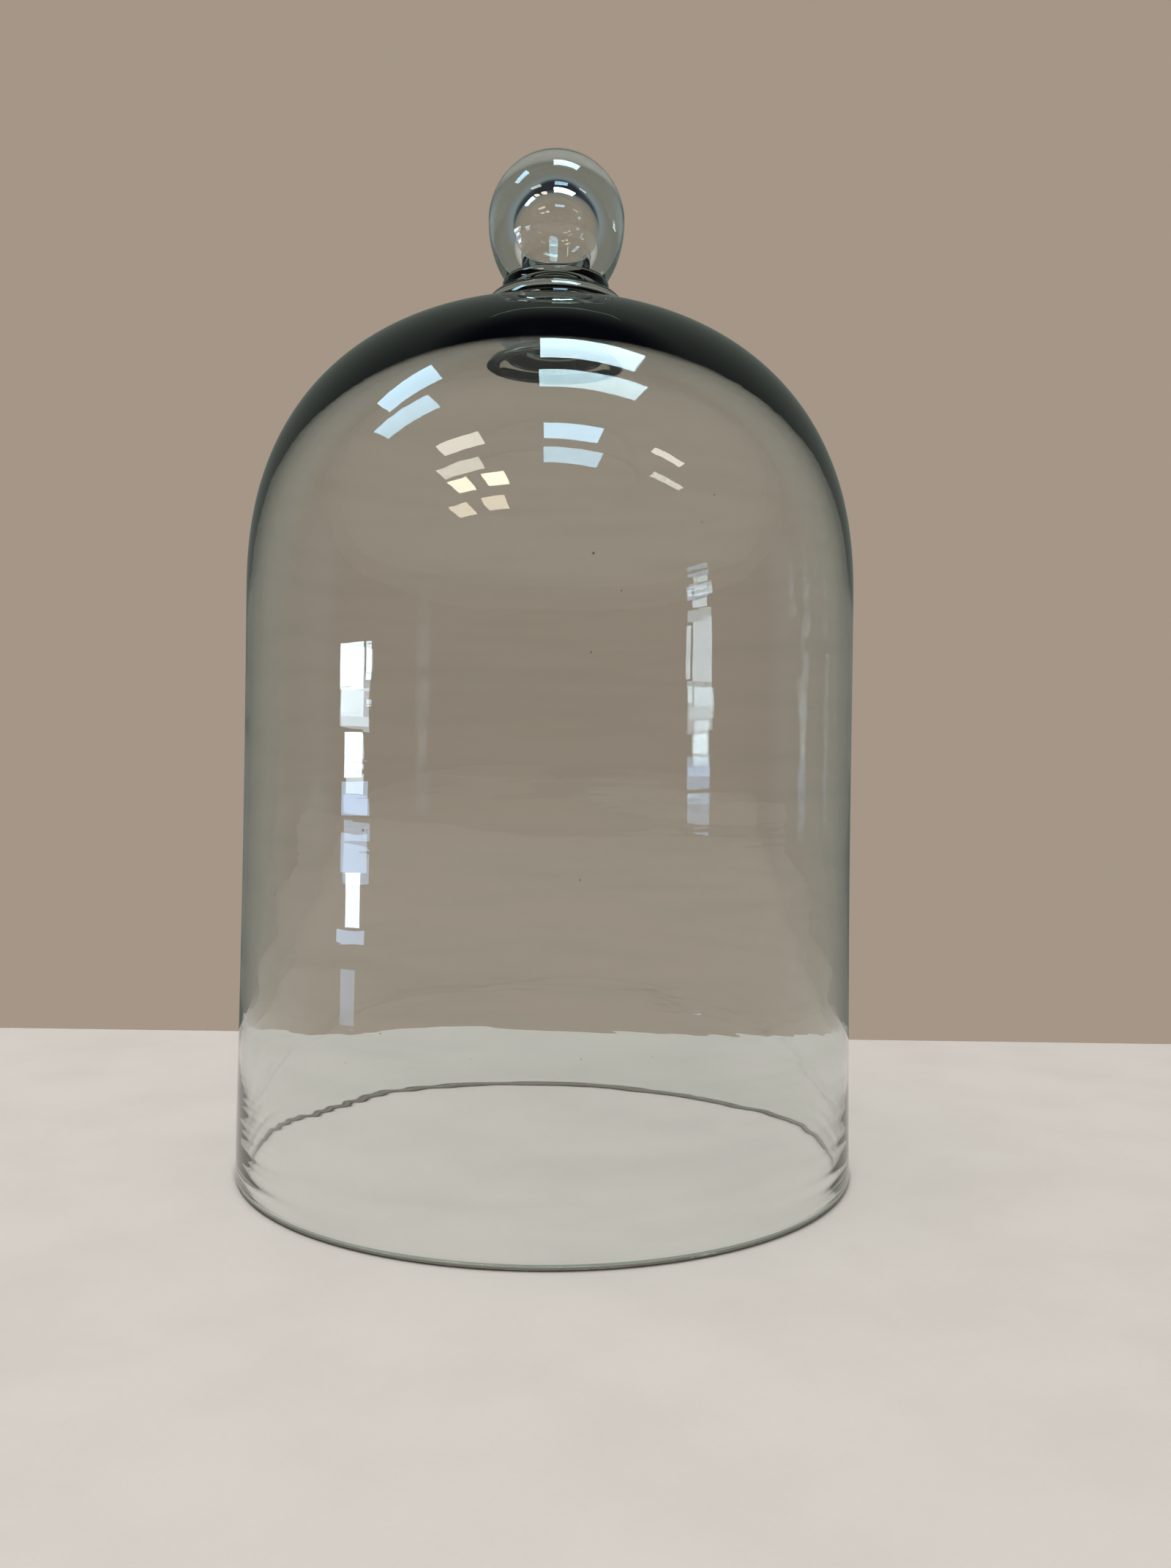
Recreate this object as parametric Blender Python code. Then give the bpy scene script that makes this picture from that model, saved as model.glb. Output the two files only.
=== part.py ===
"""Hand-blown glass cloche, standing on its open rim, with its axis along +Z.

Four pieces of clear glass are fused in a stack: the bell with its thick crown, a pad dropped on the
crown, a rolled neck ring and a blown knob with a bubble in it. Each piece is a turned body in its own
object, and a seam of constant width stands for each fused joint.
"""

import math

import bmesh
import bpy
from mathutils import Vector

# Bell, outside, in metres
RIM_RADIUS = 0.1525
WALL_RADIUS = 0.1493
SPRING_HEIGHT = 0.2804
STRAIGHT_HEIGHT = 0.0324
DOME_RISE = 0.1443
DOME_FULLNESS = 2.32

# Bell, wall
WALL_THICKNESS = 0.0022
CROWN_THICKNESS = 0.0150
HOLLOW_SPRING_DROP = 0.0131
HOLLOW_EXTRA_FULLNESS = 0.18
RIM_THICKNESS = 0.0040
RIM_BAND = 0.0600
RIM_ROUND = 0.0010

# Pad on the crown
PAD_RADIUS = 0.0372
PAD_TOP_RADIUS = 0.0258
PAD_HEIGHT = 0.0108

# Neck ring between the pad and the knob
RING_RADIUS = 0.0266
RING_HEIGHT = 0.0058
RING_ROUND = 0.0026

# Knob: a half ball above its widest circle, a half ellipse cut off at the seat below it
KNOB_RADIUS = 0.0340
KNOB_TAPER_DEPTH = 0.0434
KNOB_SEAT_DROP = 0.0289
BUBBLE_RADIUS = 0.0211
BUBBLE_FLOOR = 0.0039
THROAT_RADIUS = 0.0020

# Width of a fused seam
SEAM_GAP = 0.0003

# Fineness of the turned bodies
BELL_SEGMENTS = 56
NECK_SEGMENTS = 40
DOME_STEPS = 13
WALL_STEPS = 5
ROUND_STEPS = 3
BALL_STEPS = 8
CREASE_ANGLE = math.radians(40)
MERGE_DISTANCE = 1e-6

# Sizes that follow from those above: the flare ends where the straight wall under the dome begins
CROWN_HEIGHT = SPRING_HEIGHT + DOME_RISE
FLARE_HEIGHT = SPRING_HEIGHT - STRAIGHT_HEIGHT
HOLLOW_FULLNESS = DOME_FULLNESS + HOLLOW_EXTRA_FULLNESS
BUBBLE_HEIGHT = BUBBLE_FLOOR + BUBBLE_RADIUS


def clear_scene():
    for item in list(bpy.data.objects):
        bpy.data.objects.remove(item, do_unlink=True)


def glass(name, colour, roughness):
    """Clear glass with a slight grey-green tint."""
    material = bpy.data.materials.new(name)
    material.use_nodes = True
    shader = material.node_tree.nodes["Principled BSDF"]
    shader.inputs["Base Color"].default_value = (*colour, 1.0)
    shader.inputs["Roughness"].default_value = roughness
    shader.inputs["Metallic"].default_value = 0.0
    shader.inputs["IOR"].default_value = 1.5
    shader.inputs["Transmission Weight"].default_value = 1.0
    material.diffuse_color = (*colour, 0.35)
    return material


def turned(name, outline, segments, height, material, parent):
    """An object turned about Z from an outline of (radius, height) points, whose base lies at height."""
    shape = bmesh.new()
    points = [shape.verts.new((radius, 0.0, level)) for radius, level in outline]
    edges = [shape.edges.new(pair) for pair in zip(points, points[1:])]
    bmesh.ops.spin(
        shape,
        geom=points + edges,
        cent=Vector((0, 0, 0)),
        axis=Vector((0, 0, 1)),
        angle=math.tau,
        steps=segments,
        use_merge=True,
    )
    bmesh.ops.remove_doubles(shape, verts=shape.verts, dist=MERGE_DISTANCE)
    bmesh.ops.recalc_face_normals(shape, faces=shape.faces)
    mesh = bpy.data.meshes.new(name)
    shape.to_mesh(mesh)
    shape.free()
    mesh.shade_smooth()
    mesh.set_sharp_from_angle(angle=CREASE_ANGLE)
    mesh.materials.append(material)
    piece = bpy.data.objects.new(name, mesh)
    piece.location = (0.0, 0.0, height)
    piece.parent = parent
    bpy.context.scene.collection.objects.link(piece)
    return piece


def arc(centre, radius, start, end, steps):
    """Points on a circle about centre, from the angle start to the angle end, both included."""
    angles = [start + (end - start) * step / steps for step in range(steps + 1)]
    return [(centre[0] + radius * math.cos(a), centre[1] + radius * math.sin(a)) for a in angles]


def dome(half_width, rise, fullness, spring):
    """A quarter of a superellipse, from its top on the axis out to its side at the height spring."""
    points = [(0.0, spring + rise)]
    for step in range(1, DOME_STEPS + 1):
        angle = math.pi / 2 * (1 - step / DOME_STEPS)
        across = half_width * math.cos(angle) ** (2 / fullness)
        up = rise * math.sin(angle) ** (2 / fullness)
        points.append((across, spring + up))
    return points


def outer_dome():
    return dome(WALL_RADIUS, DOME_RISE, DOME_FULLNESS, SPRING_HEIGHT)


def outer_radius(level):
    """Outer radius of the wall, which eases out to the rim."""
    share = max(0.0, 1 - level / FLARE_HEIGHT)
    return WALL_RADIUS + (RIM_RADIUS - WALL_RADIUS) * share**2


def inner_radius(level):
    """Inner radius of the wall, which thickens in the band above the rim."""
    share = max(0.0, 1 - level / RIM_BAND)
    return outer_radius(level) - WALL_THICKNESS - (RIM_THICKNESS - WALL_THICKNESS) * share**2


def bell_outline():
    """Down the outside from the crown to the rim, across the rim and up the inside."""
    levels = [RIM_BAND * step / WALL_STEPS for step in range(1, WALL_STEPS + 1)]
    levels += [RIM_BAND + (FLARE_HEIGHT - RIM_BAND) * step / WALL_STEPS for step in range(1, WALL_STEPS + 1)]
    outside = [(outer_radius(level), level) for level in reversed(levels)]
    inside = [(inner_radius(level), level) for level in levels]
    foot = RIM_RADIUS - RIM_THICKNESS + RIM_ROUND
    edge_out = arc((RIM_RADIUS - RIM_ROUND, RIM_ROUND), RIM_ROUND, 0.0, -math.pi / 2, ROUND_STEPS)
    edge_in = arc((foot, RIM_ROUND), RIM_ROUND, -math.pi / 2, -math.pi, ROUND_STEPS)
    spring = SPRING_HEIGHT - HOLLOW_SPRING_DROP
    rise = CROWN_HEIGHT - CROWN_THICKNESS - spring
    hollow = dome(WALL_RADIUS - WALL_THICKNESS, rise, HOLLOW_FULLNESS, spring)
    return outer_dome() + outside + edge_out + edge_in + inside + hollow[::-1]


def crown_drop(radius):
    """How far the crown's faceted outside lies below its top at a radius."""
    points = outer_dome()
    for (near, high), (far, low) in zip(points, points[1:]):
        if radius <= far:
            return CROWN_HEIGHT - high - (low - high) * (radius - near) / (far - near)
    raise ValueError("the pad is wider than the bell")


def pad_outline():
    """A low round button: flat on top, with a belly that stands upright at its edge on the crown."""
    foot = SEAM_GAP - crown_drop(PAD_RADIUS)
    width = PAD_RADIUS - PAD_TOP_RADIUS
    height = PAD_HEIGHT - foot
    belly = (width**2 + height**2) / (2 * width)
    start = math.atan2(height, belly - width)
    side = arc((PAD_RADIUS - belly, foot), belly, start, 0.0, BALL_STEPS)
    crown = [radius for radius, _ in outer_dome() if radius < PAD_RADIUS]
    seat = [(radius, SEAM_GAP - crown_drop(radius)) for radius in reversed(crown)]
    return [(0.0, PAD_HEIGHT)] + side + seat


def ring_outline():
    """A disc with a rolled edge, at most as round as its height lets it be."""
    roll = min(RING_ROUND, RING_HEIGHT / 2)
    edge = RING_RADIUS - roll
    upper = arc((edge, RING_HEIGHT - roll), roll, math.pi / 2, 0.0, ROUND_STEPS)
    lower = arc((edge, roll), roll, 0.0, -math.pi / 2, ROUND_STEPS)
    return [(0.0, RING_HEIGHT)] + upper + lower + [(0.0, 0.0)]


def knob_outline():
    """Down the outside to the seat, in to the throat and up round the bubble."""
    ball = arc((0.0, KNOB_SEAT_DROP), KNOB_RADIUS, math.pi / 2, 0.0, BALL_STEPS)
    ball[0] = (0.0, KNOB_SEAT_DROP + KNOB_RADIUS)
    seat_angle = math.asin(KNOB_SEAT_DROP / KNOB_TAPER_DEPTH)
    angles = [seat_angle * step / BALL_STEPS for step in range(1, BALL_STEPS + 1)]
    taper = [
        (KNOB_RADIUS * math.cos(a), KNOB_SEAT_DROP - KNOB_TAPER_DEPTH * math.sin(a)) for a in angles
    ]
    throat_angle = math.acos(THROAT_RADIUS / BUBBLE_RADIUS)
    bubble = arc((0.0, BUBBLE_HEIGHT), BUBBLE_RADIUS, -throat_angle, math.pi / 2, 2 * BALL_STEPS)
    bubble[-1] = (0.0, BUBBLE_HEIGHT + BUBBLE_RADIUS)
    return ball + taper + [(THROAT_RADIUS, 0.0)] + bubble


def build():
    clear_scene()
    cloche = bpy.data.objects.new("cloche", None)
    bpy.context.scene.collection.objects.link(cloche)
    ring_seat = CROWN_HEIGHT + PAD_HEIGHT + SEAM_GAP
    knob_seat = ring_seat + RING_HEIGHT + SEAM_GAP
    bell_glass = glass("bell_glass", (0.86, 0.90, 0.87), 0.02)
    pad_glass = glass("pad_glass", (0.80, 0.85, 0.82), 0.02)
    ring_glass = glass("ring_glass", (0.82, 0.86, 0.83), 0.03)
    knob_glass = glass("knob_glass", (0.84, 0.88, 0.86), 0.02)
    turned("bell", bell_outline(), BELL_SEGMENTS, 0.0, bell_glass, cloche)
    turned("crown_pad", pad_outline(), NECK_SEGMENTS, CROWN_HEIGHT, pad_glass, cloche)
    turned("neck_ring", ring_outline(), NECK_SEGMENTS, ring_seat, ring_glass, cloche)
    turned("knob", knob_outline(), NECK_SEGMENTS, knob_seat, knob_glass, cloche)


build()
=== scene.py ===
"""Looks of the glass cloche: finely turned glass with the waviness of blown work, on a pale floor.

Every piece is turned about the frame's Z axis, and the camera stands where the photograph was taken.
"""

import math

import bpy
import numpy as np
from mathutils import Matrix, Vector

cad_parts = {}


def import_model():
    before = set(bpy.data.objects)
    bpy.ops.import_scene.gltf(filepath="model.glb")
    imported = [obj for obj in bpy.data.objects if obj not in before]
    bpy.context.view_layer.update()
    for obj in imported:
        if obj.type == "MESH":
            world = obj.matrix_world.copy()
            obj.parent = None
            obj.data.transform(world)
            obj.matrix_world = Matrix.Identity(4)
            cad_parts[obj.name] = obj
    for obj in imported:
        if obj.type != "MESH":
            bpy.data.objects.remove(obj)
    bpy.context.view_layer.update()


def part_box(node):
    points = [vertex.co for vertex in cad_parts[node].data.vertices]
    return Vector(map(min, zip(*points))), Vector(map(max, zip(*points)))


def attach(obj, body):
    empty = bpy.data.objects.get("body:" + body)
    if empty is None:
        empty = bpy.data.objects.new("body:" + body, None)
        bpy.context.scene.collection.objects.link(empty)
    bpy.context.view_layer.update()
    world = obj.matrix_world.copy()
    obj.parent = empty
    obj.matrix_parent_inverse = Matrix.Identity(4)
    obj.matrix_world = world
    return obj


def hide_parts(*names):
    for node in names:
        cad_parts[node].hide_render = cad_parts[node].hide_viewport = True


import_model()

BELL_LOW, BELL_HIGH = (np.array(corner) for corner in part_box("bell"))
_, PAD_HIGH = (np.array(corner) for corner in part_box("crown_pad"))
_, RING_HIGH = (np.array(corner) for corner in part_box("neck_ring"))
KNOB_LOW, KNOB_HIGH = (np.array(corner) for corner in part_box("knob"))

# Bell, in metres
RIM_RADIUS = BELL_HIGH[0]
CROWN_HEIGHT = BELL_HIGH[2]
WALL_RADIUS = 0.1493
FLARE_HEIGHT = 0.2480
SPRING_HEIGHT = 0.2804
DOME_RISE = CROWN_HEIGHT - SPRING_HEIGHT
DOME_FULLNESS = 2.32
WALL_THICKNESS = 0.0022
CROWN_THICKNESS = 0.0150
HOLLOW_SPRING_DROP = 0.0131
HOLLOW_FULLNESS = 2.50
RIM_THICKNESS = 0.0040
RIM_BAND = 0.0600
RIM_ROUND = 0.0019
# Height below which the rim's glass is tinted darker: painted shade of the dark line where it meets the
# floor
RIM_FOOT = 0.0026

# Pad, ring and knob, in metres
PAD_RADIUS = PAD_HIGH[0]
PAD_TOP = PAD_HIGH[2]
PAD_TOP_RADIUS = 0.0258
PAD_FILLET = 0.0012
RING_TOP = RING_HIGH[2]
RING_RADIUS = RING_HIGH[0]
RING_ROUND = 0.0026
KNOB_RADIUS = KNOB_HIGH[0]
KNOB_CENTRE = KNOB_HIGH[2] - KNOB_RADIUS
KNOB_TAPER_DEPTH = 0.0434
BUBBLE_RADIUS = 0.0211
BUBBLE_FLOOR = 0.0039
BUBBLE_CENTRE = KNOB_LOW[2] + BUBBLE_FLOOR + BUBBLE_RADIUS

# Waves in the wall: depth in metres, times round the bell, phase, and turn of the phase per metre up.
# Lobes move both faces, and the skin's waves only the inner one.
LOBES = ((0.00020, 2, 0.7, 4.0), (0.00015, 3, -1.9, -9.0))
SKIN_WAVES = ((0.00007, 5, 0.0, 30.0), (0.00005, 3, 0.0, math.tau / 0.034))

# Tool ripples above the rim: depth and length in metres, sway, times it sways round the bell, the sway's
# phase and the ripple's own. The fine ones come and go FINE_TURNS times round the bell.
RIPPLES = ((0.000075, 0.0093, 1.5, 1, 0.4, 0.8), (0.000030, 0.0055, 2.1, 2, 1.3, 0.0))
FINE_RIPPLES = ((0.000004, 0.0037, 3.3, 3, -0.6, 0.0),)
FINE_TURNS = 2
RIPPLE_TOP = 0.1050
RIPPLE_FADE = 0.0170
OUTER_RIPPLE_SHARE = -0.35

# Thicker glass on the inner face at the back of the shoulder
SHOULDER_DEPTH = 0.0011

# Ranges over which the waves come in or fade out: radii and heights in metres, and sines of the angle
WAVE_RADII = (0.10, 0.145)
WAVE_START = (0.002, 0.03)
WAVE_END = (0.22, 0.31)
RIPPLE_START = (0.0015, 0.007)
SHOULDER_START = (0.225, 0.300)
BACK_SINES = (0.2, 0.6)

# Fineness of the turned meshes, and margins in metres: the radius below which a point lies on the axis, and
# the room that other rings leave round the pad's edge and under the hollow's dome
BELL_SEGMENTS = 192
NECK_SEGMENTS = 128
DOME_RINGS = 64
WALL_RINGS = 32
RIPPLE_RINGS = 130
ROUND_RINGS = 5
BALL_RINGS = 40
CREASE_ANGLE = math.radians(38)
AXIS_MARGIN = 1e-7
PAD_MARGIN = 0.0004
HOLLOW_MARGIN = 0.0020

# Material slots of a piece beside its own glass
FUSED, RIM = 1, 2

# Camera of the photograph: 1600 by 2142 pixels
IMAGE_WIDTH = 1600
FOCAL_PIXELS = 1830
SENSOR_WIDTH = 36.0
CLIP_START = 0.01
CAMERA_PLACE = (0.0184, -0.6779, 0.2064)
CAMERA_PITCH = math.radians(1.397)
CAMERA_ROLL = math.radians(-0.8)


def turned(name, outline, segments, shift=None, zones=()):
    """A mesh turned about Z from (radius, height) points.

    shift moves the points, and zones are ranges of the outline with another material slot.
    """
    angles = np.arange(segments) * math.tau / segments
    rings, starts = [], []
    count = 0
    for radius, level in np.array(outline):
        size = 1 if radius < AXIS_MARGIN else segments
        starts.append((count, size))
        count += size
        turn = angles[:size]
        rings.append(np.stack([radius * np.cos(turn), radius * np.sin(turn), np.full(size, level)], 1))
    points = np.concatenate(rings)
    if shift is not None:
        owner = np.concatenate([np.full(size, i) for i, (_, size) in enumerate(starts)])
        points = points + shift(points, owner)
    faces, marks = [], []
    for i, ((a, a_size), (b, b_size)) in enumerate(zip(starts, starts[1:])):
        if a_size == 1 and b_size == 1:
            continue
        mark = next((slot for low, high, slot in zones if low <= i < high), 0)
        for j in range(segments):
            k = (j + 1) % segments
            if a_size == 1:
                faces.append((a, b + j, b + k))
            elif b_size == 1:
                faces.append((a + j, b, a + k))
            else:
                faces.append((a + j, b + j, b + k, a + k))
            marks.append(mark)
    mesh = bpy.data.meshes.new(name)
    mesh.from_pydata(points.tolist(), [], faces)
    mesh.polygons.foreach_set("material_index", marks)
    mesh.shade_smooth()
    mesh.set_sharp_from_angle(angle=CREASE_ANGLE)
    return mesh


def place(name, mesh, node, materials):
    """A piece of the cloche, which rides on its only body and stands for a CAD node."""
    piece = bpy.data.objects.new(name, mesh)
    bpy.context.scene.collection.objects.link(piece)
    for material in materials:
        mesh.materials.append(material)
    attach(piece, "root")
    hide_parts(node)


def arc(centre, radius, start, end, steps):
    """Points on a circle about centre, from the angle start to the angle end, both included."""
    angles = np.linspace(start, end, steps + 1)
    return [(centre[0] + radius * math.cos(a), centre[1] + radius * math.sin(a)) for a in angles]


def dome(half_width, rise, fullness, spring):
    """A quarter of a superellipse, from its top on the axis out to its side."""
    points = [(0.0, spring + rise)]
    for step in range(1, DOME_RINGS + 1):
        angle = math.pi / 2 * (1 - step / DOME_RINGS)
        across = half_width * math.cos(angle) ** (2 / fullness)
        points.append((across, spring + rise * max(math.sin(angle), 0.0) ** (2 / fullness)))
    return points


def crown_level(radius):
    """Height of the crown's outside at a radius."""
    across = (radius / WALL_RADIUS) ** DOME_FULLNESS
    return SPRING_HEIGHT + DOME_RISE * (1 - across) ** (1 / DOME_FULLNESS)


def outer_radius(level):
    """Outer radius of the wall, which eases out to the rim."""
    share = np.maximum(0.0, 1 - level / FLARE_HEIGHT)
    return WALL_RADIUS + (RIM_RADIUS - WALL_RADIUS) * share**2


def inner_radius(level):
    """Inner radius of the wall, which thickens in the band above the rim."""
    share = np.maximum(0.0, 1 - level / RIM_BAND)
    return outer_radius(level) - WALL_THICKNESS - (RIM_THICKNESS - WALL_THICKNESS) * share**2


def smooth_step(value, low, high):
    """0 below low, 1 above high and a smooth rise between them."""
    share = np.clip((value - low) / (high - low), 0, 1)
    return share * share * (3 - 2 * share)


def wall_waves(waves, angle, level):
    """The sum of waves that go round the wall and twist with height."""
    total = np.zeros_like(angle)
    for depth, turns, phase, twist in waves:
        total += depth * np.sin(turns * angle + phase + twist * level)
    return total


def tool_ripples(ripples, angle, level):
    """The sum of ripples that follow each other up the wall and sway as they go round it."""
    total = np.zeros_like(angle)
    for depth, length, sway, turns, sway_phase, phase in ripples:
        swayed = sway * np.sin(turns * angle + sway_phase)
        total += depth * np.sin(math.tau * level / length + swayed + phase)
    return total


def blown_waves(points, inside):
    """Small radial moves of the bell's points, where inside marks those of the inner face."""
    angle = np.arctan2(points[:, 1], points[:, 0])
    level = points[:, 2]
    wall = smooth_step(np.hypot(points[:, 0], points[:, 1]), *WAVE_RADII)
    body = wall * smooth_step(level, *WAVE_START) * (1 - smooth_step(level, *WAVE_END))
    fine = tool_ripples(FINE_RIPPLES, angle, level) * (1 + np.sin(FINE_TURNS * angle))
    ripple = tool_ripples(RIPPLES, angle, level) * np.exp(-level / RIPPLE_FADE)
    ripple += fine * (1 - smooth_step(level, 0.0, RIPPLE_TOP))
    ripple *= smooth_step(level, *RIPPLE_START)
    back = wall * smooth_step(np.sin(angle), *BACK_SINES)
    shoulder = SHOULDER_DEPTH * back * smooth_step(level, *SHOULDER_START)
    inner = ripple + body * wall_waves(SKIN_WAVES, angle, level) - shoulder
    wave = body * wall_waves(LOBES, angle, level) + np.where(inside, inner, OUTER_RIPPLE_SHARE * ripple)
    unit = np.stack([np.cos(angle), np.sin(angle), np.zeros_like(angle)], 1)
    return unit * wave[:, None]


def bell_mesh():
    """Down the outside from the crown to the rim, across the rim and up the inside."""
    crown = dome(WALL_RADIUS, DOME_RISE, DOME_FULLNESS, SPRING_HEIGHT)
    seat = [point for point in crown if point[0] < PAD_RADIUS - PAD_MARGIN]
    beyond = [point for point in crown if point[0] > PAD_RADIUS + PAD_MARGIN]
    crown = seat + [(PAD_RADIUS, crown_level(PAD_RADIUS))] + beyond
    upper = np.linspace(SPRING_HEIGHT, RIPPLE_TOP, WALL_RINGS)[1:]
    lower = np.linspace(RIPPLE_TOP, RIM_ROUND, RIPPLE_RINGS)[1:]
    outside = [(outer_radius(z), z) for z in (*upper, *lower)]
    foot = RIM_RADIUS - RIM_THICKNESS + RIM_ROUND
    edge_out = arc((RIM_RADIUS - RIM_ROUND, RIM_ROUND), RIM_ROUND, 0, -math.pi / 2, ROUND_RINGS)[1:]
    edge_in = arc((foot, RIM_ROUND), RIM_ROUND, -math.pi / 2, -math.pi, ROUND_RINGS)
    spring = SPRING_HEIGHT - HOLLOW_SPRING_DROP
    inner_rise = CROWN_HEIGHT - CROWN_THICKNESS - spring
    hollow = dome(WALL_RADIUS - WALL_THICKNESS, inner_rise, HOLLOW_FULLNESS, spring)
    climb = np.concatenate([lower[::-1][1:], [RIPPLE_TOP], upper[::-1][1:]])
    inside = [(inner_radius(z), z) for z in climb if z < spring - HOLLOW_MARGIN]
    outline = crown + outside + edge_out + edge_in + inside + hollow[::-1]
    first_inside = len(crown) + len(outside) + len(edge_out)

    def shift(points, owner):
        return blown_waves(points, owner >= first_inside)

    # The rim's faces take the foot glass, whose darker tint is painted shade where the rim meets the floor
    rim = [i for i, (_, z) in enumerate(outline) if z < RIM_FOOT]
    zones = [(0, len(seat), FUSED), (rim[0], rim[-1], RIM)]
    return turned("bell", outline, BELL_SEGMENTS, shift, zones)


def pad_mesh():
    """A low round button on the crown, with a belly and a small fillet at its edge."""
    foot = crown_level(PAD_RADIUS)
    neck = PAD_RADIUS - PAD_FILLET
    width = neck - PAD_TOP_RADIUS
    height = PAD_TOP - foot - PAD_FILLET
    belly = (width**2 + height**2) / (2 * width)
    start = math.atan2(height, belly - width)
    side = arc((neck - belly, foot + PAD_FILLET), belly, start, 0, BALL_RINGS // 2)
    flare = arc((PAD_RADIUS, foot + PAD_FILLET), PAD_FILLET, math.pi, math.pi * 1.5, ROUND_RINGS)[1:-1]
    seat = [(radius, crown_level(radius)) for radius in np.linspace(PAD_RADIUS, 0, BALL_RINGS // 2)]
    outline = [(0, PAD_TOP)] + side + flare + seat
    zones = [(0, 1, FUSED), (1 + len(side) + len(flare), len(outline), FUSED)]
    return turned("crown_pad", outline, NECK_SEGMENTS, None, zones)


def ring_mesh():
    """A disc with a rolled edge, between the pad and the knob."""
    edge = RING_RADIUS - RING_ROUND
    upper = arc((edge, RING_TOP - RING_ROUND), RING_ROUND, math.pi / 2, 0, 2 * ROUND_RINGS)
    lower = arc((edge, PAD_TOP + RING_ROUND), RING_ROUND, 0, -math.pi / 2, 2 * ROUND_RINGS)
    outline = [(0, RING_TOP)] + upper + lower + [(0, PAD_TOP)]
    zones = [(0, 1, FUSED), (len(outline) - 2, len(outline) - 1, FUSED)]
    return turned("neck_ring", outline, NECK_SEGMENTS, None, zones)


def knob_mesh():
    """A half ball above a half ellipse cut off at the seat, with a sealed bubble inside."""
    ball = arc((0, KNOB_CENTRE), KNOB_RADIUS, math.pi / 2, 0, BALL_RINGS)
    ball[0] = (0, KNOB_CENTRE + KNOB_RADIUS)
    seat_angle = math.asin((KNOB_CENTRE - RING_TOP) / KNOB_TAPER_DEPTH)
    angles = np.linspace(0, seat_angle, BALL_RINGS)[1:]
    taper = [(KNOB_RADIUS * math.cos(a), KNOB_CENTRE - KNOB_TAPER_DEPTH * math.sin(a)) for a in angles]
    bubble = arc((0, BUBBLE_CENTRE), BUBBLE_RADIUS, -math.pi / 2, math.pi / 2, BALL_RINGS)
    bubble[0] = (0, BUBBLE_CENTRE - BUBBLE_RADIUS)
    bubble[-1] = (0, BUBBLE_CENTRE + BUBBLE_RADIUS)
    outline = ball + taper + [(0, RING_TOP)] + bubble
    seam = len(ball) + len(taper) - 1
    return turned("knob", outline, NECK_SEGMENTS, None, [(seam, seam + 1, FUSED)])


# Grey-green glass: its index of refraction, what a metre of it takes out of red, green and blue light, and
# the tints of its faces, of its foot (darkened as painted shade of the dark line where the rim meets the
# floor), of specks on it and of lamp light that falls through it
GLASS_IOR = 1.5
ABSORPTION = (3.6, 2.4, 3.0)
FACE_TINT = (0.90, 0.92, 0.912)
STREAK_TINT = (0.86, 0.89, 0.878)
FOOT_PAINTED_SHADE = (0.50, 0.53, 0.51)
FOOT_STREAK_PAINTED_SHADE = (0.40, 0.42, 0.39)
SPECK_TINT = (0.20, 0.19, 0.17)
SHADOW_TINT = (0.95, 0.955, 0.95)

# Fine marks of the glass. Each noise has its cells per metre, its detail, how many times finer it is along
# each axis, and an offset.
CORDS = (9, 3, (1, 1, 9), 0)
SWELL = (26, 2, (1, 1, 0.6), 3)
HAZE = (17, 6, (1, 1, 0.7), 7)
BUMP_HEIGHT = 0.00003
STREAK_RANGE = (0.45, 0.75)
HAZE_RANGE = (0.56, 0.72)
HAZE_ROUGHNESS = 0.05
SPECK_CELLS = 42.0
SPECK_EDGE = (0.018, 0.030)
SPECK_PICK = (0.62, 0.64)


def new_material(name):
    """A new material, and the node tree in it."""
    material = bpy.data.materials.new(name)
    material.use_nodes = True
    return material, material.node_tree


def new_node(tree, kind, **values):
    """A new node with its inputs set by name, where _ stands for a space."""
    item = tree.nodes.new(kind)
    for name, value in values.items():
        item.inputs[name.replace("_", " ")].default_value = value
    return item


def noise(tree, coordinates, scale, detail, finer, offset):
    """Noise in object coordinates, in cells of 1 / scale metres, made finer along each axis."""
    spread = new_node(tree, "ShaderNodeMapping", Scale=finer, Location=(offset, offset, offset))
    texture = new_node(tree, "ShaderNodeTexNoise", Scale=scale, Detail=detail)
    tree.links.new(coordinates, spread.inputs["Vector"])
    tree.links.new(spread.outputs["Vector"], texture.inputs["Vector"])
    return texture.outputs["Fac"]


def mapped(tree, value, low, high, to_low=0.0, to_high=1.0):
    """A value eased from one range to another."""
    ends = {"From_Min": low, "From_Max": high, "To_Min": to_low, "To_Max": to_high}
    span = new_node(tree, "ShaderNodeMapRange", **ends)
    span.interpolation_type = "SMOOTHSTEP"
    tree.links.new(value, span.inputs["Value"])
    return span.outputs["Result"]


def blended(tree, share, first, second):
    """A mix of two colours, each a plain colour or a socket."""
    mix = tree.nodes.new("ShaderNodeMix")
    mix.data_type = "RGBA"
    tree.links.new(share, mix.inputs["Factor"])
    for socket, colour in ((mix.inputs[6], first), (mix.inputs[7], second)):
        if isinstance(colour, tuple):
            socket.default_value = (*colour, 1)
        else:
            tree.links.new(colour, socket)
    return mix.outputs[2]


def joined(tree, operation, first, second):
    """A value put together by a math operation with another, which is a socket or a plain number."""
    math_node = tree.nodes.new("ShaderNodeMath")
    math_node.operation = operation
    tree.links.new(first, math_node.inputs[0])
    if isinstance(second, float):
        math_node.inputs[1].default_value = second
    else:
        tree.links.new(second, math_node.inputs[1])
    return math_node.outputs[0]


def mixed(tree, share, first, second):
    """A mix of two shaders."""
    mix = tree.nodes.new("ShaderNodeMixShader")
    tree.links.new(share, mix.inputs[0])
    tree.links.new(first, mix.inputs[1])
    tree.links.new(second, mix.inputs[2])
    return mix.outputs["Shader"]


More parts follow.
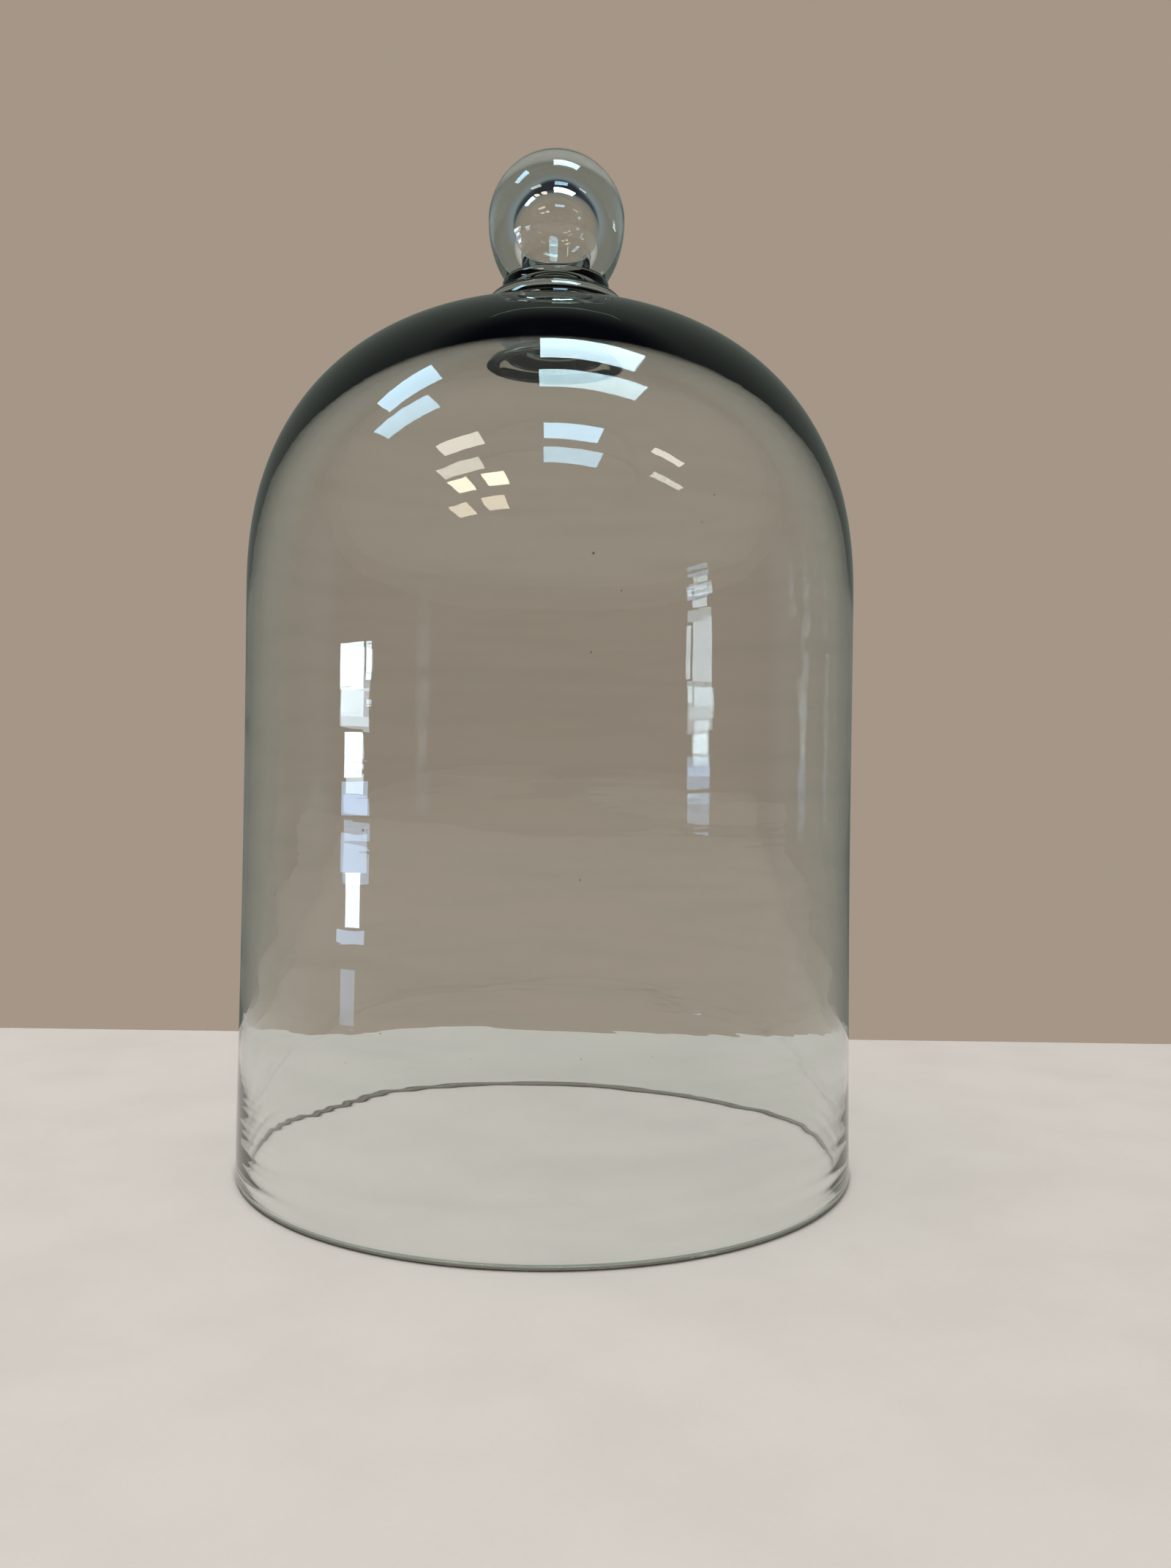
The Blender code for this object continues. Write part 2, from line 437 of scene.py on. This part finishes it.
def add_bump(tree, shader, height, strength, distance):
    """Relief on a shader from a height, which stands for distance in metres where it is 1."""
    bump = new_node(tree, "ShaderNodeBump", Strength=strength, Distance=distance)
    tree.links.new(height, bump.inputs["Height"])
    tree.links.new(bump.outputs["Normal"], shader.inputs["Normal"])


def add_absorption(tree):
    """Tint that deepens with the way through the glass. The node takes out density times 1 - colour."""
    density = 2 * max(ABSORPTION)
    absorb = tree.nodes.new("ShaderNodeVolumeAbsorption")
    absorb.inputs["Color"].default_value = (*(1 - share / density for share in ABSORPTION), 1)
    absorb.inputs["Density"].default_value = density
    tree.links.new(absorb.outputs["Volume"], tree.nodes["Material Output"].inputs["Volume"])


def add_imperfections(tree, shader, offset, tints):
    """What blown glass shows close up: cords that run round it, a hazy touch and a few specks."""
    coordinates = tree.nodes.new("ShaderNodeTexCoord").outputs["Object"]
    cords, swell, haze = (
        noise(tree, coordinates, scale, detail, finer, offset + further)
        for scale, detail, finer, further in (CORDS, SWELL, HAZE)
    )
    add_bump(tree, shader, joined(tree, "ADD", cords, swell), 1.0, BUMP_HEIGHT)
    roughness = mapped(tree, haze, *HAZE_RANGE, 0.0, HAZE_ROUGHNESS)
    tree.links.new(roughness, shader.inputs["Roughness"])
    cells = new_node(tree, "ShaderNodeTexVoronoi", Scale=SPECK_CELLS)
    tree.links.new(coordinates, cells.inputs["Vector"])
    near = mapped(tree, cells.outputs["Distance"], *SPECK_EDGE, 1.0, 0.0)
    pick = tree.nodes.new("ShaderNodeSeparateColor")
    tree.links.new(cells.outputs["Color"], pick.inputs[0])
    speck = joined(tree, "MULTIPLY", near, mapped(tree, pick.outputs[0], *SPECK_PICK))
    tint = blended(tree, mapped(tree, cords, *STREAK_RANGE), *tints)
    tree.links.new(blended(tree, speck, tint, SPECK_TINT), shader.inputs["Base Color"])


def glass(name, offset, tints=(FACE_TINT, STREAK_TINT), lets_lamps=True):
    """Clear glass. With lets_lamps, lamp light goes straight through it to what stands behind."""
    material, tree = new_material(name)
    shader = tree.nodes["Principled BSDF"]
    shader.inputs["IOR"].default_value = GLASS_IOR
    shader.inputs["Transmission Weight"].default_value = 1.0
    add_imperfections(tree, shader, offset, tints)
    add_absorption(tree)
    if not lets_lamps:
        return material
    path = tree.nodes.new("ShaderNodeLightPath")
    clear = new_node(tree, "ShaderNodeBsdfTransparent", Color=(*SHADOW_TINT, 1))
    surface = shader.outputs["BSDF"]
    for kind in ("Is Diffuse Ray", "Is Shadow Ray"):
        surface = mixed(tree, path.outputs[kind], surface, clear.outputs["BSDF"])
    tree.links.new(surface, tree.nodes["Material Output"].inputs["Surface"])
    return material


def fused():
    """Glass that runs on into the next piece, so its face bends and mirrors nothing."""
    material, tree = new_material("fused_glass")
    tree.nodes.remove(tree.nodes["Principled BSDF"])
    clear = tree.nodes.new("ShaderNodeBsdfTransparent")
    tree.links.new(clear.outputs["BSDF"], tree.nodes["Material Output"].inputs["Surface"])
    add_absorption(tree)
    return material


# Floor: colours, roughness, noise of its mottling and nap, and how far off its mirror image fades out
FLOOR_COLOUR = (0.775, 0.72, 0.672)
FLOOR_SHADE = (0.74, 0.685, 0.64)
FLOOR_ROUGHNESS = 0.95
MOTTLE = (14, 5, (1, 1, 1), 0)
MOTTLE_RANGE = (0.35, 0.70)
NAP = (650, 3, (1, 1, 1), 0)
NAP_STRENGTH = 0.5
NAP_HEIGHT = 0.0004
MIRROR_FADE = (0.30, 0.78)

# Stretches of floor in metres, by their left, front and right ends. Both end behind the bell, at
# FLOOR_BACK, where the wide one falls away.
NEAR_FLOOR = (-0.95, -0.80, 0.95)
FAR_FLOOR = (-4.0, -5.0, 4.0)
FLOOR_BACK = 0.29
FLOOR_GAP = 0.0002
FALL_LENGTH = 3.0
FALL_DEPTH = 0.75
UP = (0, 0, 1)


def floor_material():
    """Pale felt: faint mottling and a soft nap. Its mirror image in the glass fades out with distance."""
    material, tree = new_material("floor_felt")
    shader = tree.nodes["Principled BSDF"]
    shader.inputs["Roughness"].default_value = FLOOR_ROUGHNESS
    shader.inputs["Specular IOR Level"].default_value = 0.0
    coordinates = tree.nodes.new("ShaderNodeTexCoord").outputs["Object"]
    mottle = mapped(tree, noise(tree, coordinates, *MOTTLE), *MOTTLE_RANGE)
    tree.links.new(blended(tree, mottle, FLOOR_COLOUR, FLOOR_SHADE), shader.inputs["Base Color"])
    add_bump(tree, shader, noise(tree, coordinates, *NAP), NAP_STRENGTH, NAP_HEIGHT)
    reach = tree.nodes.new("ShaderNodeVectorMath")
    reach.operation = "LENGTH"
    tree.links.new(coordinates, reach.inputs[0])
    mirrored = tree.nodes.new("ShaderNodeLightPath").outputs["Is Reflection Ray"]
    away = joined(tree, "MULTIPLY", mapped(tree, reach.outputs["Value"], *MIRROR_FADE), mirrored)
    clear = tree.nodes.new("ShaderNodeBsdfTransparent")
    surface = mixed(tree, away, shader.outputs["BSDF"], clear.outputs["BSDF"])
    tree.links.new(surface, tree.nodes["Material Output"].inputs["Surface"])
    return material


def floor_corners(left, front, right, level):
    """Corners of a stretch of floor, from back left round the front to back right."""
    ends = ((left, FLOOR_BACK), (left, front), (right, front), (right, FLOOR_BACK))
    return [(across, along, level) for across, along in ends]


def floor_piece(name, corners, faces, material):
    """A stretch of floor. It is shaded as if level, so that no fold shows where it falls away."""
    mesh = bpy.data.meshes.new(name)
    mesh.from_pydata(corners, [], faces)
    mesh.shade_smooth()
    mesh.normals_split_custom_set_from_vertices([UP] * len(corners))
    mesh.materials.append(material)
    item = bpy.data.objects.new(name, mesh)
    bpy.context.scene.collection.objects.link(item)
    return item


def floor():
    """A near floor, and its wide surround, which no mirror image shows.

    The surround falls away behind the near floor, out of the photograph's sight.
    """
    material = floor_material()
    level = BELL_LOW[2] - FLOOR_GAP
    inner = floor_corners(*NEAR_FLOOR, level)
    outer = floor_corners(*FAR_FLOOR, level)
    left, _, right = FAR_FLOOR
    fall = [(side, FLOOR_BACK + FALL_LENGTH, level - FALL_DEPTH) for side in (left, right)]
    around = [(0, 4, 5, 1), (1, 5, 6, 2), (2, 6, 7, 3), (4, 7, 9, 8)]
    floor_piece("floor", inner, [(0, 1, 2, 3)], material)
    surround = floor_piece("floor_surround", inner + outer + fall, around, material)
    surround.visible_glossy = False
    surround.visible_shadow = False
    surround.visible_diffuse = False


# Tints of the lamps
ICY = (0.66, 0.90, 1.0)
COOL = (0.48, 0.78, 1.0)
CREAM = (1.0, 0.97, 0.85)
WARM = (1.0, 0.86, 0.66)
PALE = (0.73, 0.89, 1.0)
SKY = (0.46, 0.68, 1.0)
NEUTRAL = (1.0, 0.99, 0.985)

# Lamps that lie flat at ceiling height, with two corners, brightness and tint: those that show as mirror
# images, and those that light the floor and show in no mirror image
CEILING = 2.4
PANELS = (
    ("panel_over", (-0.12, -0.41), (0.785, 0.05), 15.5, ICY),
    ("panel_left", (-2.085, -0.42), (-1.145, 0.02), 12.4, COOL),
    ("panel_front", (-0.10, -2.36), (0.82, -1.91), 17, COOL),
    ("panel_front_left", (-2.05, -2.36), (-1.15, -1.95), 11, CREAM),
    ("panel_front_right", (1.83, -2.15), (2.65, -1.95), 11, CREAM),
    ("skylight_left", (-2.65, -4.2), (-2.05, -3.43), 20, WARM),
    ("skylight_right", (-1.65, -4.16), (-1.05, -3.455), 22, WARM),
)
FLOOR_LAMPS = (
    ("key", (-1.0, -0.9), (0.2, 0.3), 4.5, NEUTRAL),
    ("fill", (-4.0, -5.5), (4.0, 2.5), 0.79, NEUTRAL),
)

# Panes of the window to the left: ends across and up, in metres from its middle, brightness and tint
WINDOW_PLACE = (-2.052, -0.799, 0.0)
WINDOW_PANES = (
    (-0.26, 0.14, 0.326, 0.4135, 21, PALE),
    (0.18, 0.27, 0.340, 0.4135, 17, PALE),
    (-0.25, 0.24, 0.256, 0.326, 7, PALE),
    (-0.16, 0.14, 0.166, 0.244, 20, PALE),
    (-0.20, 0.24, 0.100, 0.160, 8, SKY),
    (-0.20, 0.24, -0.010, 0.066, 7, SKY),
    (-0.10, 0.14, -0.106, -0.010, 20, PALE),
    (-0.25, 0.22, -0.140, -0.110, 8, SKY),
    (-0.16, 0.08, -0.286, -0.190, 4, SKY),
)


def lamp(name, centre, size, facing, radiance, colour):
    """A flat soft lamp of a given brightness, with size across and up, facing a point."""
    light = bpy.data.lights.new(name, "AREA")
    light.shape = "RECTANGLE"
    light.size, light.size_y = size
    light.energy = radiance * math.pi * size[0] * size[1]
    light.color = colour
    item = bpy.data.objects.new(name, light)
    direction = Vector(facing) - Vector(centre)
    item.rotation_euler = direction.to_track_quat("-Z", "Y").to_euler()
    item.location = centre
    item.visible_camera = False
    bpy.context.scene.collection.objects.link(item)
    return item


def ceiling_lamp(name, low, high, radiance, colour):
    """A lamp that lies flat at ceiling height over a rectangle given by two corners."""
    centre = ((low[0] + high[0]) / 2, (low[1] + high[1]) / 2, CEILING)
    size = (high[0] - low[0], high[1] - low[1])
    below = (centre[0], centre[1], 0)
    return lamp(name, centre, size, below, radiance, colour)


def lights():
    """Lamps that show as mirror images in the glass, and a key and a fill that light the floor."""
    for panel in PANELS:
        item = ceiling_lamp(*panel)
        item.visible_diffuse = False
    for floor_lamp in FLOOR_LAMPS:
        item = ceiling_lamp(*floor_lamp)
        item.visible_glossy = False
        item.visible_transmission = False
    middle = Vector(WINDOW_PLACE)
    across = Vector((-middle.y, middle.x, 0)).normalized()
    for left, right, low, high, radiance, tint in WINDOW_PANES:
        centre = middle + across * (left + right) / 2 + Vector((0, 0, (low + high) / 2))
        facing = centre - Vector((middle.x, middle.y, 0))
        pane = lamp("window_pane", centre, (right - left, high - low), facing, radiance, tint)
        pane.visible_diffuse = False


# Colours of the surroundings by how far a direction lies along +Y, behind the bell. BACKDROP is seen
# straight and through the wall. ROOM is dimmer, lights the floor and is mirrored. BENT shows in thick
# glass, and where light is mirrored on its way through. ZENITH takes over where the upward sine is high.
BACKDROP = (
    (0.25, (0.290, 0.303, 0.308)),
    (0.80, (0.376, 0.305, 0.242)),
)
ROOM = (
    (-0.10, (0.055, 0.055, 0.053)),
    (0.25, (0.108, 0.132, 0.122)),
    (0.70, (0.160, 0.184, 0.162)),
)
BENT = (
    (-0.10, (0.040, 0.046, 0.060)),
    (0.20, (0.040, 0.046, 0.060)),
    (0.40, (0.245, 0.282, 0.292)),
    (0.80, (0.230, 0.214, 0.182)),
)
ZENITH = (0.020, 0.023, 0.034)
ZENITH_SINE = (0.84, 0.95)

# Faces that a straight way through the hollow bell crosses, and half a step to count whole faces by
WALL_FACES = 4
HALF_STEP = 0.5


def ramp(tree, value, stops):
    """A colour ramp over values from -1 to 1."""
    colours = tree.nodes.new("ShaderNodeValToRGB")
    colours.color_ramp.interpolation = "EASE"
    while len(colours.color_ramp.elements) < len(stops):
        colours.color_ramp.elements.new(1)
    for stop, (along, colour) in zip(colours.color_ramp.elements, stops):
        stop.position = (along + 1) / 2
        stop.color = (*colour, 1)
    span = new_node(tree, "ShaderNodeMapRange", From_Min=-1, From_Max=1)
    tree.links.new(value, span.inputs["Value"])
    tree.links.new(span.outputs["Result"], colours.inputs["Fac"])
    return colours.outputs["Color"]


def world():
    """Surroundings whose colour depends on how a ray came: straight, mirrored or bent by thick glass."""
    scene = bpy.context.scene
    scene.world = bpy.data.worlds.new("studio")
    scene.world.use_nodes = True
    tree = scene.world.node_tree
    split = tree.nodes.new("ShaderNodeSeparateXYZ")
    tree.links.new(tree.nodes.new("ShaderNodeTexCoord").outputs["Generated"], split.inputs[0])
    path = tree.nodes.new("ShaderNodeLightPath")
    through = path.outputs["Is Transmission Ray"]
    seen = joined(tree, "MAXIMUM", path.outputs["Is Camera Ray"], through)
    direct = joined(tree, "GREATER_THAN", seen, path.outputs["Diffuse Depth"])
    mirrored = joined(tree, "GREATER_THAN", path.outputs["Glossy Depth"], HALF_STEP)
    thick = joined(tree, "LESS_THAN", path.outputs["Transmission Depth"], WALL_FACES - HALF_STEP)
    bent = joined(tree, "MULTIPLY", through, joined(tree, "MAXIMUM", mirrored, thick))
    room, backdrop, aside = (ramp(tree, split.outputs["Y"], stops) for stops in (ROOM, BACKDROP, BENT))
    overhead = mapped(tree, split.outputs["Z"], *ZENITH_SINE)
    sides = blended(tree, bent, blended(tree, direct, room, backdrop), aside)
    tree.links.new(blended(tree, overhead, sides, ZENITH), tree.nodes["Background"].inputs["Color"])


def camera():
    """The camera that took the photograph, as fitted to the bell's outline."""
    data = bpy.data.cameras.new("camera")
    data.sensor_fit = "HORIZONTAL"
    data.sensor_width = SENSOR_WIDTH
    data.lens = SENSOR_WIDTH * FOCAL_PIXELS / IMAGE_WIDTH
    data.clip_start = CLIP_START
    item = bpy.data.objects.new("camera", data)
    look = Matrix.Rotation(math.pi / 2 - CAMERA_PITCH, 4, "X")
    item.matrix_world = Matrix.Translation(CAMERA_PLACE) @ look @ Matrix.Rotation(-CAMERA_ROLL, 4, "Z")
    bpy.context.scene.collection.objects.link(item)
    bpy.context.scene.camera = item


def build():
    """The four pieces, each with its noise at an offset of its own, and the stage round them."""
    bpy.context.scene.view_settings.view_transform = "Standard"
    seam = fused()
    # The foot glass is tinted darker as painted shade where the rim meets the floor. It also keeps lamp
    # light from passing straight through, so the floor under the rim gets a real shadow too
    foot = glass("foot_glass_painted_shade", 0, (FOOT_PAINTED_SHADE, FOOT_STREAK_PAINTED_SHADE), lets_lamps=False)
    place("bell_shell", bell_mesh(), "bell", [glass("bell_glass", 0), seam, foot])
    place("pad_button", pad_mesh(), "crown_pad", [glass("pad_glass", 11), seam])
    place("ring_roll", ring_mesh(), "neck_ring", [glass("ring_glass", 23), seam])
    place("knob_ball", knob_mesh(), "knob", [glass("knob_glass", 37), seam])
    floor()
    lights()
    world()
    camera()


build()
